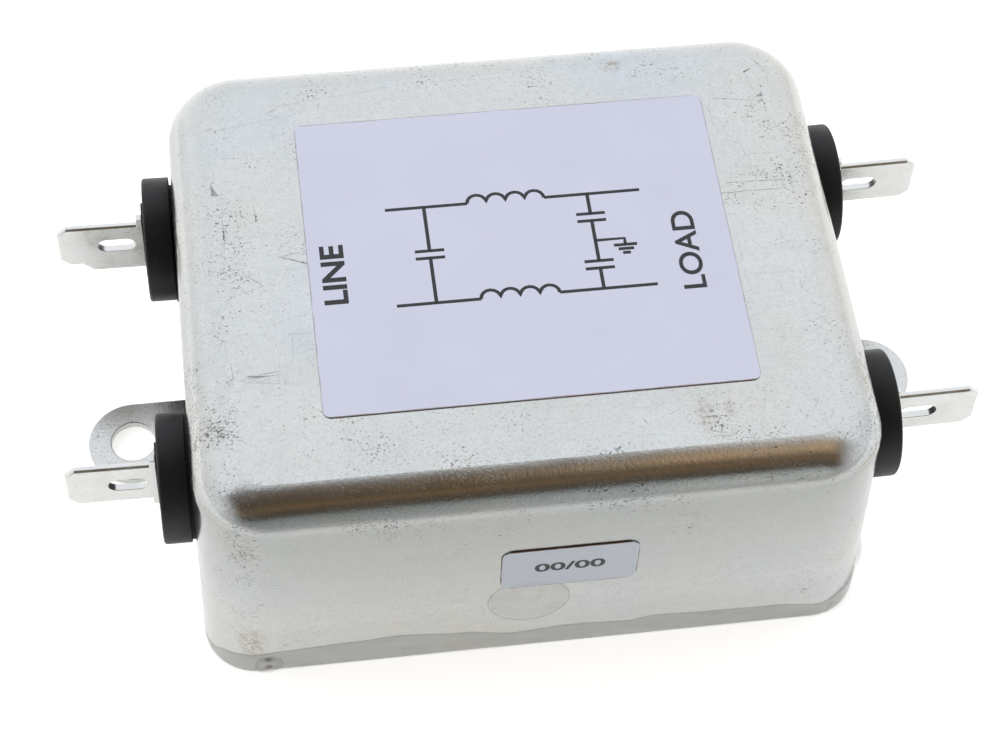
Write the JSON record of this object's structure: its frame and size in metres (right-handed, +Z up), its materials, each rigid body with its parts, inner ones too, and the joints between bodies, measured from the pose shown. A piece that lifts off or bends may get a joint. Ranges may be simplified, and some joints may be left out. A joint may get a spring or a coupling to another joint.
{
  "type": "emi line filter",
  "caption": "Chassis-mounting mains line filter in a drawn metal can, with fixing ears at its ends and slotted tab terminals in black insulators.",
  "frame": {"origin": "centre of the underside, on the surface that the filter is bolted to", "axes": "+X along the length to the load terminals, +Y to the rear long side, +Z up through the labelled top"},
  "size_m": [0.0942, 0.058, 0.0301],
  "materials": {
    "tinned_steel": "tin-plated sheet steel, satin and cloudy, with small pits",
    "gasket": "matt black",
    "moulding": "satin black moulding",
    "tinned_brass": "tinned, satin",
    "ferrite": "matt sintered",
    "divider_plastic": "natural",
    "enamelled_copper": "clear enamel",
    "film_capacitor": "boxed, semi-gloss",
    "resistor_body": "lacquered",
    "earth_capacitor": "small boxed film capacitor, semi-gloss",
    "resin": "clear cast resin",
    "label_film": "pale metallised film"
  },
  "bodies": {
    "root": {"can": "tinned_steel", "base_plate": "tinned_steel", "gasket_line_rear": "gasket", "gasket_line_front": "gasket", "gasket_load_rear": "gasket", "gasket_load_front": "gasket", "insulator_line_rear": "moulding", "insulator_line_front": "moulding", "insulator_load_rear": "moulding", "insulator_load_front": "moulding", "inner_washer_line_rear": "moulding", "inner_washer_line_front": "moulding", "inner_washer_load_rear": "moulding", "inner_washer_load_front": "moulding", "tab_line_rear": "tinned_brass", "tab_line_front": "tinned_brass", "tab_load_rear": "tinned_brass", "tab_load_front": "tinned_brass", "choke_core": "ferrite", "core_divider": "divider_plastic", "line_winding": "enamelled_copper", "neutral_winding": "enamelled_copper", "x_capacitor": "film_capacitor", "discharge_resistor": "resistor_body", "earth_tag": "tinned_brass", "y_capacitor_line": "earth_capacitor", "y_capacitor_neutral": "earth_capacitor", "potting": "resin", "rating_label": "label_film", "date_label": "label_film"}
  },
  "joints": []
}
